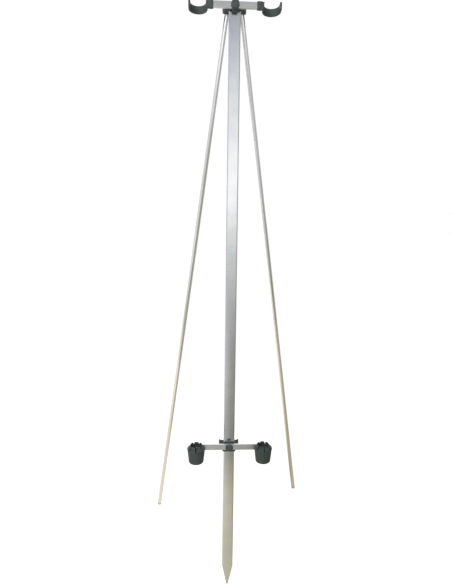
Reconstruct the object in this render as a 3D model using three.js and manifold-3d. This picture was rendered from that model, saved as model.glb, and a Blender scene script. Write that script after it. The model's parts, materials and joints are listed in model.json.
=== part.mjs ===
import * as THREE from 'three';
import { mergeVertices } from 'three/addons/utils/BufferGeometryUtils.js';
import Module from 'manifold-3d';

// A surf rod tripod: a pointed main leg, two folding rear legs, an upper bar with two rod rests
// and a lower bar with two butt cups. Sizes are in millimetres. In the leg frame the origin is
// the tip of the main leg, Z runs up along the leg, X to the right and Y to the back.

// Fits shared by all the pieces
const GAP = 0.3;
const OVERRUN = 4;

// Main leg: a flat aluminium tube whose lower end is drawn in to a point
const LEG_FACE = 29;
const LEG_DEPTH = 14;
const LEG_CORNER = 3.5;
const LEG_WALL = 1.5;
const LEG_LENGTH = 1493;
const POINT_LENGTH = 60;
const POINT_TIP = 2.5;

// Rear legs: round aluminium tubes with a plastic plug in the foot
const TUBE_RADIUS = 6.35;
const TUBE_WALL = 1;
const TUBE_HEAD = 5.5;
const REAR_REACH = 1500;
const PLUG_SHANK = 18;
const SPREAD_DIRECTION_DEGREES = 54.7;
const SPREAD_LEFT_DEGREES = 13.6;
const SPREAD_RIGHT_DEGREES = 16.2;

// Leg pivots: a mushroom-headed bolt and a nut through each fork of the head
const HEAD_SEAT = 7;
const PIVOT_OUT = 17.5;
const PIVOT_BACK = 15;
const PIVOT_RADIUS = 2.5;
const PIVOT_HEAD_RADIUS = 4.25;
const PIVOT_HEAD_RISE = 1.5;
const PIVOT_NUT_WIDTH = 8;
const PIVOT_NUT_LENGTH = 4;
const PIVOT_END = 1;

// Head: one moulding with a spigot for the leg, two forks, a boss for the stud and a top lug
const CORE_WALL = 3;
const CORE_CORNER = 4;
const HEAD_RISE = 10.5;
const BOSS_WIDTH = 16;
const BOSS_END_WIDTH = 13;
const BOSS_CORNER = 2.5;
const BOSS_DROP = 12.7;
const SPIGOT_LENGTH = 40;
const LUG_WIDTH = 6;
const LUG_DEPTH = 5;
const LUG_RISE = 9.5;
const CHEEK_WALL = 2.4;
const CHEEK_REACH = 6.4;
const CHEEK_TOP_ROUND = 4;
const FORK_SLACK = 0.35;
const FORK_DEPTH = 9.8;
const FORK_ROOF = 8.3;
const RIVET_RADIUS = 2;
const RIVET_HEAD_RADIUS = 4;
const RIVET_HEAD_RISE = 1.4;
const RIVET_LENGTH = 6;
const RIVET_DROP = 30;

// Crossbars: one ribbed and hollow aluminium profile, cut to two lengths
const BAR_HEIGHT = 15.5;
const BAR_THICKNESS = 5.5;
const BAR_WALL = 1.1;
const BAR_EDGE = 1;
const BAR_STANDOFF = 6.5;
const GROOVE_OFFSET = 3;
const GROOVE_WIDTH = 1.2;
const GROOVE_DEPTH = 0.35;
const UPPER_BAR_INSET = 23.8;
const LOWER_BAR_END = 10.5;

// Clamping studs, with their knobs, washers and captive nuts
const STUD_RADIUS = 3;
const STUD_GRIP = 4;
const WASHER_RADIUS = 6.5;
const WASHER_THICKNESS = 1.2;
const PLATE_WIDTH = 16;
const PLATE_RISE = 7;
const PLATE_DROP = 10.8;
const PLATE_CORNER = 2;
const KNOB_RADIUS = 9.7;
const KNOB_LOBE = 0.4;
const KNOB_LOBES = 7;
const KNOB_THICKNESS = 5.6;
const KNOB_RIM = 2.4;
const KNOB_EDGE = 0.6;
const KNOB_FACE_RADIUS = 3.5;
const HEAD_NUT_WIDTH = 10;
const HEAD_NUT_LENGTH = 5;
const HEAD_NUT_SEAT = 12;
const COLLAR_NUT_WIDTH = 10;
const COLLAR_NUT_LENGTH = 3.2;

// Rod rests: a socket on the bar's end with a U-shaped fork that opens to the front
const HOLDER_REACH = 86.5;
const SOCKET_WALL = 1;
const SOCKET_LENGTH = 12.9;
const SOCKET_ROUND = 1.6;
const REST_RADIUS = 18;
const REST_WALL = 4.5;
const REST_HEIGHT = 17;
const REST_SETBACK = 11.5;
const REST_OUTER_HORN = 3;
const REST_EDGE = 0.8;
const REST_SCREW_RADIUS = 1.5;
const REST_SCREW_HEAD_RADIUS = 3;
const REST_SCREW_HEAD_RISE = 1.8;
const REST_SCREW_LENGTH = 3.6;

// Slider collar: a sleeve on the main leg with a cradle behind each edge for a folded rear leg
const COLLAR_HEIGHT = 414.3;
const COLLAR_RISE = 7.4;
const COLLAR_DROP = 16.3;
const COLLAR_WALL = 3;
const COLLAR_CORNER = 5;
const COLLAR_BOSS_RADIUS = 11;
const CRADLE_WALL = 2.2;
const CRADLE_ARM = 2.5;
const CRADLE_DROP = 12;

// Butt cups: tapered cups with a lip and a crown of springy fingers, screwed to the lower bar
const CUP_RISE = 10.2;
const CUP_WALL = 2;
const CUP_DEPTH = 37;
const CUP_BASE_RADIUS = 19.3;
const CUP_BASE_ROUND = 4;
const CUP_RADIUS = 22.6;
const CUP_NECK_DROP = 3;
const CUP_LIP = 0.6;
const CUP_LIP_HEIGHT = 1.2;
const CROWN_RADIUS = 16;
const CROWN_SHOULDER = 5.6;
const CROWN_RISE = 9.6;
const CROWN_FINGERS = 7;
const FIRST_SLIT_DEGREES = -92;
const SLIT_WIDTH = 2.6;
const SLIT_DROP = 3;
const FINGER_ROUND = 3;
const CUP_PAD_WIDTH = 13;
const CUP_PAD_HEIGHT = 12;
const CUP_PAD_DEPTH = 2.5;
const CUP_SCREW_RADIUS = 2;
const CUP_SCREW_HEAD_RADIUS = 3.6;
const CUP_SCREW_HEAD_RISE = 2;
const CUP_NUT_WIDTH = 7;
const CUP_NUT_LENGTH = 3.2;

// How finely round shapes are divided
const ROUND_SIDES = 32;
const SMALL_SIDES = 20;
const HEX_SIDES = 6;
const CORNER_STEPS = 4;
const BEND_STEPS = 20;
const LOBE_STEPS = 6;
const DOME_STEPS = 5;
const LEVEL_PASSES = 6;

const QUARTER = Math.PI / 2;
const LEFT = -1;
const RIGHT = 1;
const wasm = await Module();
wasm.setup();

// A closed geometry as a solid that can be joined and cut
function solidOf(geometry) {
  const bare = geometry.clone();
  bare.deleteAttribute('normal');
  bare.deleteAttribute('uv');
  const merged = mergeVertices(bare);
  const vertProperties = new Float32Array(merged.attributes.position.array);
  const triVerts = new Uint32Array(merged.index.array);
  return new wasm.Manifold(new wasm.Mesh({ numProp: 3, vertProperties, triVerts }));
}

// The geometry of a finished solid, with one flat normal for each face
function geometryOf(solid) {
  const { vertProperties, triVerts } = solid.getMesh();
  const indexed = new THREE.BufferGeometry();
  indexed.setAttribute('position', new THREE.BufferAttribute(new Float32Array(vertProperties), 3));
  indexed.setIndex(new THREE.BufferAttribute(new Uint32Array(triVerts), 1));
  const flat = indexed.toNonIndexed();
  flat.computeVertexNormals();
  return flat;
}

// Joins the first list of geometries and cuts the second list out of them
function build(joined, cuts = []) {
  let result = solidOf(joined[0]);
  for (const geometry of joined.slice(1)) {
    result = result.add(solidOf(geometry));
  }
  for (const geometry of cuts) {
    result = result.subtract(solidOf(geometry));
  }
  return geometryOf(result);
}

// A block between two corners
function block([x0, y0, z0], [x1, y1, z1]) {
  const geometry = new THREE.BoxGeometry(x1 - x0, y1 - y0, z1 - z0);
  return geometry.translate((x0 + x1) / 2, (y0 + y1) / 2, (z0 + z1) / 2);
}

// A rod along Y from one depth to another, round or with flat sides
function rod(radius, from, to, x = 0, z = 0, sides = SMALL_SIDES) {
  const geometry = new THREE.CylinderGeometry(radius, radius, to - from, sides);
  return geometry.translate(x, (from + to) / 2, z);
}

// A hexagonal rod along Y, by its width across the flats, with a flat side to the left and right
function hexRod(width, from, to) {
  const geometry = new THREE.CylinderGeometry(width / Math.sqrt(3), width / Math.sqrt(3), to - from, HEX_SIDES);
  return geometry.translate(0, (from + to) / 2, 0);
}

// The corner points of a rounded rectangle, anticlockwise
function roundedPoints(width, depth, corner) {
  const points = [];
  for (let quarter = 0; quarter < 4; quarter += 1) {
    const centreX = (width / 2 - corner) * (quarter === 0 || quarter === 3 ? 1 : -1);
    const centreY = (depth / 2 - corner) * (quarter < 2 ? 1 : -1);
    for (let step = 0; step <= CORNER_STEPS; step += 1) {
      const angle = (quarter + step / CORNER_STEPS) * QUARTER;
      points.push(new THREE.Vector2(centreX + corner * Math.cos(angle), centreY + corner * Math.sin(angle)));
    }
  }
  return points;
}

// A flat outline pushed up along Z between two heights
function prism(points, from, to, holes = []) {
  const shape = new THREE.Shape(points);
  shape.holes = holes.map((hole) => new THREE.Path(hole));
  const geometry = new THREE.ExtrudeGeometry(shape, { depth: to - from, bevelEnabled: false });
  return geometry.translate(0, 0, from);
}

// An outline in X and Z pushed along Y between two depths
function slab(points, from, to) {
  return prism(points, -to, -from).rotateX(QUARTER);
}

// Points on an arc about a centre, from one angle to another
function arcPoints(centreX, centreY, radius, from, to, steps) {
  const points = [];
  for (let step = 0; step <= steps; step += 1) {
    const angle = from + ((to - from) * step) / steps;
    points.push(new THREE.Vector2(centreX + radius * Math.cos(angle), centreY + radius * Math.sin(angle)));
  }
  return points;
}

// A closed skin through a stack of level rings that all have the same number of points
function loft(rings) {
  const count = rings[0].points.length;
  const positions = [];
  const push = (point, height) => positions.push(point.x, point.y, height);
  for (let level = 0; level + 1 < rings.length; level += 1) {
    const low = rings[level];
    const high = rings[level + 1];
    for (let index = 0; index < count; index += 1) {
      const next = (index + 1) % count;
      push(low.points[index], low.height);
      push(low.points[next], low.height);
      push(high.points[next], high.height);
      push(low.points[index], low.height);
      push(high.points[next], high.height);
      push(high.points[index], high.height);
    }
  }
  const centre = new THREE.Vector2(0, 0);
  const bottom = rings[0];
  const top = rings[rings.length - 1];
  for (let index = 0; index < count; index += 1) {
    const next = (index + 1) % count;
    push(centre, bottom.height);
    push(bottom.points[next], bottom.height);
    push(bottom.points[index], bottom.height);
    push(centre, top.height);
    push(top.points[index], top.height);
    push(top.points[next], top.height);
  }
  const geometry = new THREE.BufferGeometry();
  geometry.setAttribute('position', new THREE.BufferAttribute(new Float32Array(positions), 3));
  geometry.computeVertexNormals();
  return geometry;
}

// Finishes
const FINISH = {
  satinAluminium: { color: 0xb4b8b6, roughness: 0.38, metalness: 0.9 },
  polishedAluminium: { color: 0xd2d4d2, roughness: 0.2, metalness: 0.95 },
  darkPlastic: { color: 0x3d4443, roughness: 0.55, metalness: 0 },
  zincSteel: { color: 0xa9acad, roughness: 0.35, metalness: 0.95 },
  blackSteel: { color: 0x34393a, roughness: 0.45, metalness: 0.4 },
};

function piece(name, geometry, finish) {
  const mesh = new THREE.Mesh(geometry, new THREE.MeshStandardMaterial(finish));
  mesh.name = name;
  return mesh;
}

const sideName = (side) => (side === LEFT ? 'left' : 'right');

// The height of the head's stud, the level below it at which the head rests on the leg, and depths
// shared along the stack from the leg's face to the knobs
const headHeight = LEG_LENGTH + HEAD_SEAT;
const shoulder = GAP - HEAD_SEAT;
const legFront = -LEG_DEPTH / 2;
const barBack = legFront - BAR_STANDOFF;
const barFront = barBack - BAR_THICKNESS;
const barMiddle = (barBack + barFront) / 2;
const bossFront = barBack + GAP;
const washerBack = barFront - GAP;
const washerFront = washerBack - WASHER_THICKNESS;
const knobBack = washerFront - GAP;
const knobFront = knobBack - KNOB_THICKNESS;
const studHole = STUD_RADIUS + GAP;
const forkHalf = TUBE_RADIUS + FORK_SLACK;
const cheekFace = forkHalf + CHEEK_WALL;

// The bars are cut to reach the rod rests and the cups that they hold
const upperBarHalf = HOLDER_REACH - UPPER_BAR_INSET;
const lowerBarHalf = HOLDER_REACH + LOWER_BAR_END;

// Main leg

function mainLegGeometry() {
  const rings = [];
  for (let step = 1; step <= DOME_STEPS; step += 1) {
    const angle = (1 - step / DOME_STEPS) * QUARTER;
    const size = 2 * POINT_TIP * Math.cos(angle);
    const height = POINT_TIP * (1 - Math.sin(angle));
    rings.push({ points: roundedPoints(size, size, size / 2), height });
  }
  const section = roundedPoints(LEG_FACE, LEG_DEPTH, LEG_CORNER);
  rings.push({ points: section, height: POINT_LENGTH });
  rings.push({ points: section, height: LEG_LENGTH });
  const hollow = roundedPoints(LEG_FACE - 2 * LEG_WALL, LEG_DEPTH - 2 * LEG_WALL, LEG_CORNER - LEG_WALL);
  return build(
    [loft(rings)],
    [
      prism(hollow, POINT_LENGTH, LEG_LENGTH + OVERRUN),
      rod(RIVET_RADIUS + GAP, 0, LEG_DEPTH / 2 + OVERRUN, 0, headHeight - RIVET_DROP),
    ],
  );
}

// Head, built about the axis of its stud

// The fork's outline in its own X and Z: straight at the root, round at the free end
function cheekOutline() {
  const top = HEAD_RISE;
  const points = [
    new THREE.Vector2(-FORK_DEPTH - CHEEK_WALL, shoulder),
    new THREE.Vector2(0, shoulder),
  ];
  for (let step = 1; step <= CORNER_STEPS * 2; step += 1) {
    const angle = -QUARTER + (step / (CORNER_STEPS * 2)) * QUARTER;
    points.push(new THREE.Vector2(CHEEK_REACH * Math.cos(angle), -shoulder * Math.sin(angle)));
  }
  points.push(
    ...arcPoints(CHEEK_REACH - CHEEK_TOP_ROUND, top - CHEEK_TOP_ROUND, CHEEK_TOP_ROUND, 0, QUARTER, CORNER_STEPS),
  );
  points.push(new THREE.Vector2(-FORK_DEPTH - CHEEK_WALL, top));
  return points;
}

// Turns a geometry of the fork's own frame into the head's frame
function intoFork(geometry, side) {
  const spread = THREE.MathUtils.degToRad(SPREAD_DIRECTION_DEGREES);
  geometry.rotateZ(side === RIGHT ? spread : Math.PI - spread);
  return geometry.translate(side * PIVOT_OUT, PIVOT_BACK, 0);
}

function headGeometry() {
  const coreWidth = LEG_FACE + 2 * CORE_WALL;
  const coreDepth = LEG_DEPTH + 2 * CORE_WALL;
  const core = prism(roundedPoints(coreWidth, coreDepth, CORE_CORNER), shoulder, HEAD_RISE);
  const bossCorner = BOSS_END_WIDTH / 2 - BOSS_CORNER;
  const bossBend = BOSS_CORNER - BOSS_DROP;
  const bossOutline = [
    new THREE.Vector2(BOSS_WIDTH / 2, HEAD_RISE),
    new THREE.Vector2(-BOSS_WIDTH / 2, HEAD_RISE),
    new THREE.Vector2(-BOSS_WIDTH / 2, shoulder),
    ...arcPoints(-bossCorner, bossBend, BOSS_CORNER, 2 * QUARTER, 3 * QUARTER, CORNER_STEPS),
    ...arcPoints(bossCorner, bossBend, BOSS_CORNER, 3 * QUARTER, 4 * QUARTER, CORNER_STEPS),
    new THREE.Vector2(BOSS_WIDTH / 2, shoulder),
  ];
  const boss = slab(bossOutline, bossFront, legFront - GAP);
  const lugTop = HEAD_RISE + LUG_RISE;
  const lugOutline = [
    new THREE.Vector2(-LUG_WIDTH / 2, 0),
    new THREE.Vector2(LUG_WIDTH / 2, 0),
    ...arcPoints(0, lugTop - LUG_WIDTH / 2, LUG_WIDTH / 2, 0, Math.PI, 2 * CORNER_STEPS),
  ];
  const lug = slab(lugOutline, -coreDepth / 2, LUG_DEPTH - coreDepth / 2);
  const spigotInset = 2 * (LEG_WALL + GAP);
  const spigotCorner = LEG_CORNER - LEG_WALL - GAP;
  const spigot = prism(
    roundedPoints(LEG_FACE - spigotInset, LEG_DEPTH - spigotInset, spigotCorner),
    shoulder - SPIGOT_LENGTH,
    0,
  );
  const forks = [LEFT, RIGHT].map((side) => intoFork(slab(cheekOutline(), -cheekFace, cheekFace), side));
  const slots = [LEFT, RIGHT].map((side) =>
    intoFork(
      block([-FORK_DEPTH, -forkHalf, shoulder], [CHEEK_REACH + OVERRUN, forkHalf, FORK_ROOF]),
      side,
    ),
  );
  const bores = [LEFT, RIGHT].map((side) =>
    intoFork(rod(PIVOT_RADIUS + GAP, -cheekFace - OVERRUN, cheekFace + OVERRUN), side),
  );
  const nutSeat = bossFront + HEAD_NUT_SEAT;
  return build(
    [core, boss, lug, spigot, ...forks],
    [
      ...slots,
      ...bores,
      rod(studHole, bossFront - OVERRUN, nutSeat + OVERRUN),
      hexRod(HEAD_NUT_WIDTH + 2 * GAP, nutSeat, PIVOT_BACK + cheekFace),
      rod(RIVET_RADIUS + GAP, legFront + RIVET_LENGTH - GAP, LEG_DEPTH / 2, 0, -RIVET_DROP),
    ],
  );
}

function rivetGeometry() {
  const seat = LEG_DEPTH / 2 + GAP;
  const cap = new THREE.CylinderGeometry(RIVET_HEAD_RADIUS / 2, RIVET_HEAD_RADIUS, RIVET_HEAD_RISE, SMALL_SIDES);
  cap.translate(0, seat + RIVET_HEAD_RISE / 2, 0);
  return build([cap, rod(RIVET_RADIUS, legFront + RIVET_LENGTH, seat + RIVET_HEAD_RISE / 2)]);
}

// Nuts: a hexagon with a clear bore round the thread
function nutGeometry(width, bore, from, to) {
  return build([hexRod(width, from, to)], [rod(bore + GAP, from - OVERRUN, to + OVERRUN)]);
}

// Leg pivots, in the fork's frame. The head of the bolt lies on the outer cheek: on the fork's
// front for the right leg, and turned to its other side for the left one

const ontoOuterCheek = (geometry, side) => (side === RIGHT ? geometry : geometry.rotateZ(Math.PI));

function pivotBoltGeometry(side) {
  const seat = cheekFace + GAP;
  const end = cheekFace + 2 * GAP + PIVOT_NUT_LENGTH + PIVOT_END;
  const cap = new THREE.CylinderGeometry(
    PIVOT_HEAD_RADIUS,
    PIVOT_HEAD_RADIUS / 2,
    PIVOT_HEAD_RISE,
    SMALL_SIDES,
  ).translate(0, -seat - PIVOT_HEAD_RISE / 2, 0);
  return ontoOuterCheek(build([cap, rod(PIVOT_RADIUS, -seat - PIVOT_HEAD_RISE / 2, end)]), side);
}

function pivotNutGeometry(side) {
  const seat = cheekFace + GAP;
  return ontoOuterCheek(nutGeometry(PIVOT_NUT_WIDTH, PIVOT_RADIUS, seat, seat + PIVOT_NUT_LENGTH), side);
}

// Rear legs, hanging down from their pivot

const plugTop = -(REAR_REACH - TUBE_RADIUS);

function rearTubeGeometry() {
  const bottom = plugTop + GAP;
  const outer = new THREE.CylinderGeometry(TUBE_RADIUS, TUBE_RADIUS, TUBE_HEAD - bottom, ROUND_SIDES);
  outer.rotateX(QUARTER).translate(0, 0, (TUBE_HEAD + bottom) / 2);
  const bore = TUBE_RADIUS - TUBE_WALL;
  const length = TUBE_HEAD - bottom + 2 * OVERRUN;
  const inner = new THREE.CylinderGeometry(bore, bore, length, ROUND_SIDES);
  inner.rotateX(QUARTER).translate(0, 0, (TUBE_HEAD + bottom) / 2);
  return build([outer], [inner, rod(PIVOT_RADIUS + GAP, -TUBE_RADIUS - OVERRUN, TUBE_RADIUS + OVERRUN)]);
}

function footPlugGeometry() {
  const shank = TUBE_RADIUS - TUBE_WALL - GAP;
  const profile = [
    ...arcPoints(0, 0, TUBE_RADIUS, -QUARTER, 0, 2 * DOME_STEPS),
    new THREE.Vector2(shank, 0),
    new THREE.Vector2(shank, PLUG_SHANK),
    new THREE.Vector2(0, PLUG_SHANK),
  ];
  profile[0].x = 0;
  return new THREE.LatheGeometry(profile, SMALL_SIDES).rotateX(QUARTER).translate(0, 0, plugTop);
}

// Crossbars: the profile's outline in thickness and height, with two grooves in each face

function barOutline() {
  const half = BAR_THICKNESS / 2;
  const top = BAR_HEIGHT / 2;
  const edges = [];
  const addGroove = (x, height, way) => {
    const inner = x - Math.sign(x) * GROOVE_DEPTH;
    edges.push(new THREE.Vector2(x, height - (way * GROOVE_WIDTH) / 2));
    edges.push(new THREE.Vector2(inner, height - (way * GROOVE_WIDTH) / 4));
    edges.push(new THREE.Vector2(inner, height + (way * GROOVE_WIDTH) / 4));
    edges.push(new THREE.Vector2(x, height + (way * GROOVE_WIDTH) / 2));
  };
  edges.push(...arcPoints(half - BAR_EDGE, BAR_EDGE - top, BAR_EDGE, -QUARTER, 0, CORNER_STEPS));
  addGroove(half, -GROOVE_OFFSET, 1);
  addGroove(half, GROOVE_OFFSET, 1);
  edges.push(...arcPoints(half - BAR_EDGE, top - BAR_EDGE, BAR_EDGE, 0, QUARTER, CORNER_STEPS));
  edges.push(...arcPoints(BAR_EDGE - half, top - BAR_EDGE, BAR_EDGE, QUARTER, 2 * QUARTER, CORNER_STEPS));
  addGroove(-half, GROOVE_OFFSET, -1);
  addGroove(-half, -GROOVE_OFFSET, -1);
  edges.push(...arcPoints(BAR_EDGE - half, BAR_EDGE - top, BAR_EDGE, 2 * QUARTER, 3 * QUARTER, CORNER_STEPS));
  return edges;
}

// A bar along X in its place in front of the leg, with the holes that its screws need
function barGeometry(half, holes) {
  const innerHalf = BAR_THICKNESS / 2 - BAR_WALL;
  const innerTop = BAR_HEIGHT / 2 - BAR_WALL;
  const hollow = [
    new THREE.Vector2(-innerHalf, -innerTop),
    new THREE.Vector2(-innerHalf, innerTop),
    new THREE.Vector2(innerHalf, innerTop),
    new THREE.Vector2(innerHalf, -innerTop),
  ];
  const profile = prism(barOutline(), -half, half, [hollow]);
  profile.rotateX(QUARTER).rotateZ(QUARTER).translate(0, barMiddle, 0);
  return build([profile], [rod(studHole, barFront - OVERRUN, barBack + OVERRUN), ...holes]);
}

// Knob, stud and washer on the axis of a stud

function knobGeometry() {
  const outline = (inset) => {
    const points = [];
    const count = KNOB_LOBES * LOBE_STEPS;
    for (let index = 0; index < count; index += 1) {
      const angle = (index / count) * 2 * Math.PI;
      const radius = KNOB_RADIUS - KNOB_LOBE * Math.cos(KNOB_LOBES * angle) - inset;
      points.push(new THREE.Vector2(radius * Math.sin(angle), -radius * Math.cos(angle)));
    }
    return points;
  };
  const rings = [
    { points: outline(KNOB_EDGE), height: 0 },
    { points: outline(0), height: KNOB_EDGE },
  ];
  for (let step = 0; step <= DOME_STEPS; step += 1) {
    const angle = (step / DOME_STEPS) * QUARTER;
    const inset = (KNOB_RADIUS - KNOB_FACE_RADIUS) * (1 - Math.cos(angle));
    const height = KNOB_RIM + (KNOB_THICKNESS - KNOB_RIM) * Math.sin(angle);
    rings.push({ points: outline(inset), height });
  }
  const body = loft(rings);
  body.rotateX(QUARTER).translate(0, knobBack, 0);
  return build([body], [rod(studHole, knobBack - STUD_GRIP - GAP, knobBack + OVERRUN)]);
}

const studGeometry = (end) => rod(STUD_RADIUS, knobBack - STUD_GRIP, end);

function washerGeometry() {
  return build(
    [rod(WASHER_RADIUS, washerFront, washerBack)],
    [rod(studHole, washerFront - OVERRUN, washerBack + OVERRUN)],
  );
}

// The upper bar's washer: a plate that hangs in front of the bar and covers its lower edge
function washerPlateGeometry() {
  const outline = roundedPoints(PLATE_WIDTH, PLATE_RISE + PLATE_DROP, PLATE_CORNER);
  const plate = slab(outline, washerFront, washerBack).translate(0, 0, (PLATE_RISE - PLATE_DROP) / 2);
  return build([plate], [rod(studHole, washerFront - OVERRUN, washerBack + OVERRUN)]);
}

// Rod rest, with its socket over the end of the upper bar. The bow's centre is the origin

const bowCentreDepth = barFront + REST_SETBACK;

function bowOutline() {
  const outer = REST_RADIUS + REST_WALL;
  const innerTip = barFront - bowCentreDepth;
  const outerTip = innerTip - REST_OUTER_HORN;
  const tipRadius = REST_WALL / 2;
  const middle = REST_RADIUS + tipRadius;
  return [
    ...arcPoints(0, 0, outer, 0, Math.PI, BEND_STEPS),
    ...arcPoints(-middle, innerTip + tipRadius, tipRadius, Math.PI, 2 * Math.PI, CORNER_STEPS),
    ...arcPoints(0, 0, REST_RADIUS, Math.PI, 0, BEND_STEPS),
    ...arcPoints(middle, outerTip + tipRadius, tipRadius, Math.PI, 2 * Math.PI, CORNER_STEPS),
  ];
}

const restScrewReach = HOLDER_REACH - REST_RADIUS - REST_WALL - SOCKET_LENGTH / 2;

function rodRestGeometry(side) {
  const bow = prism(bowOutline(), -REST_HEIGHT / 2, REST_HEIGHT / 2);
  bow.translate(HOLDER_REACH, bowCentreDepth, 0);
  const wall = GAP + SOCKET_WALL;
  const socketEnd = HOLDER_REACH - REST_RADIUS - REST_WALL / 2;
  const socketStart = HOLDER_REACH - REST_RADIUS - REST_WALL - SOCKET_LENGTH;
  const socket = prism(
    roundedPoints(BAR_THICKNESS + 2 * wall, BAR_HEIGHT + 2 * wall, SOCKET_ROUND),
    socketStart,
    socketEnd,
  );
  socket.rotateX(QUARTER).rotateZ(QUARTER).translate(0, barMiddle, 0);
  const mouth = block(
    [socketStart - OVERRUN, barFront - GAP, -BAR_HEIGHT / 2 - GAP],
    [upperBarHalf + GAP, barBack + GAP, BAR_HEIGHT / 2 + GAP],
  );
  const screwHole = rod(REST_SCREW_RADIUS + GAP, barMiddle, barBack + OVERRUN, restScrewReach);
  const rest = build([bow, socket], [mouth, screwHole]);
  return side === RIGHT ? rest : mirrored(rest);
}

// The same piece for the other side, with its faces turned to point out again
function mirrored(geometry) {
  const copy = geometry.clone();
  const position = copy.attributes.position;
  for (let corner = 0; corner < position.count; corner += 3) {
    const swap = new THREE.Vector3().fromBufferAttribute(position, corner + 1);
    const last = new THREE.Vector3().fromBufferAttribute(position, corner + 2);
    position.setX(corner, -position.getX(corner));
    position.setXYZ(corner + 1, -last.x, last.y, last.z);
    position.setXYZ(corner + 2, -swap.x, swap.y, swap.z);
  }
  copy.computeVertexNormals();
  return copy;
}

function restScrewGeometry() {
  const seat = barBack + GAP + SOCKET_WALL + GAP;
  const cap = new THREE.CylinderGeometry(
    REST_SCREW_HEAD_RADIUS / 2,
    REST_SCREW_HEAD_RADIUS,
    REST_SCREW_HEAD_RISE,
    SMALL_SIDES,
  ).translate(0, seat + REST_SCREW_HEAD_RISE / 2, 0);
  return build([cap, rod(REST_SCREW_RADIUS, seat - REST_SCREW_LENGTH, seat + REST_SCREW_HEAD_RISE / 2)]);
}

// Slider collar, built about the axis of its stud

// A cradle's outline in the fork's directions: round at the root, with two straight arms
function cradleOutline() {
  const outer = forkHalf + CRADLE_WALL;
  const tip = CRADLE_WALL / 2;
  return [
    ...arcPoints(0, 0, outer, QUARTER, 3 * QUARTER, BEND_STEPS),
    ...arcPoints(CRADLE_ARM, tip - outer, tip, -QUARTER, QUARTER, CORNER_STEPS),
    ...arcPoints(0, 0, forkHalf, 3 * QUARTER, QUARTER, BEND_STEPS),
    ...arcPoints(CRADLE_ARM, outer - tip, tip, -QUARTER, QUARTER, CORNER_STEPS),
  ];
}

function collarGeometry() {
  const boreWidth = LEG_FACE + 2 * GAP;
  const boreDepth = LEG_DEPTH + 2 * GAP;
  const outerWidth = boreWidth + 2 * COLLAR_WALL;
  const outerDepth = boreDepth + 2 * COLLAR_WALL;
  const sleeve = prism(roundedPoints(outerWidth, outerDepth, COLLAR_CORNER), -COLLAR_DROP, COLLAR_RISE);
  const bore = prism(
    roundedPoints(boreWidth, boreDepth, LEG_CORNER + GAP),
    -COLLAR_DROP - OVERRUN,
    COLLAR_RISE + OVERRUN,
  );
  const boss = rod(COLLAR_BOSS_RADIUS, bossFront, legFront - COLLAR_WALL / 2, 0, 0, ROUND_SIDES);
  const bossTrim = block(
    [-COLLAR_BOSS_RADIUS - OVERRUN, bossFront - OVERRUN, COLLAR_RISE],
    [COLLAR_BOSS_RADIUS + OVERRUN, legFront, COLLAR_BOSS_RADIUS + OVERRUN],
  );
  const cradles = [LEFT, RIGHT].map((side) => intoFork(prism(cradleOutline(), -CRADLE_DROP, COLLAR_RISE), side));
  const channels = [LEFT, RIGHT].map((side) => {
    const length = COLLAR_DROP + COLLAR_RISE + 2 * OVERRUN;
    const channel = new THREE.CylinderGeometry(forkHalf, forkHalf, length, 2 * BEND_STEPS);
    channel.rotateX(QUARTER).translate(0, 0, (COLLAR_RISE - COLLAR_DROP) / 2);
    return intoFork(channel, side);
  });
  const nutHalf = COLLAR_NUT_WIDTH / 2 + GAP;
  const nutPocket = block(
    [-nutHalf, legFront - 2 * GAP - COLLAR_NUT_LENGTH, -nutHalf],
    [nutHalf, legFront + GAP, nutHalf],
  );
  return build(
    [sleeve, boss, ...cradles],
    [bore, bossTrim, ...channels, nutPocket, rod(studHole, bossFront - OVERRUN, legFront)],
  );
}

function collarNutGeometry() {
  const half = COLLAR_NUT_WIDTH / 2;
  const front = legFront - GAP - COLLAR_NUT_LENGTH;
  const back = legFront - GAP;
  return build([block([-half, front, -half], [half, back, half])], [rod(studHole, front - OVERRUN, back + OVERRUN)]);
}

// Butt cup, built about its own axis with the lip's level at zero

// The cup's outer radius at the level of its screw
const cupScrewLevel = -CUP_RISE;
const cupTaper = (CUP_RADIUS - CUP_BASE_RADIUS) / (CUP_DEPTH - CUP_BASE_ROUND - CUP_NECK_DROP);
const cupRadiusAtScrew = CUP_RADIUS + (cupScrewLevel + CUP_NECK_DROP) * cupTaper;
const cupAxisDepth = barFront - GAP - CUP_PAD_DEPTH + CUP_WALL - cupRadiusAtScrew - GAP;

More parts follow.
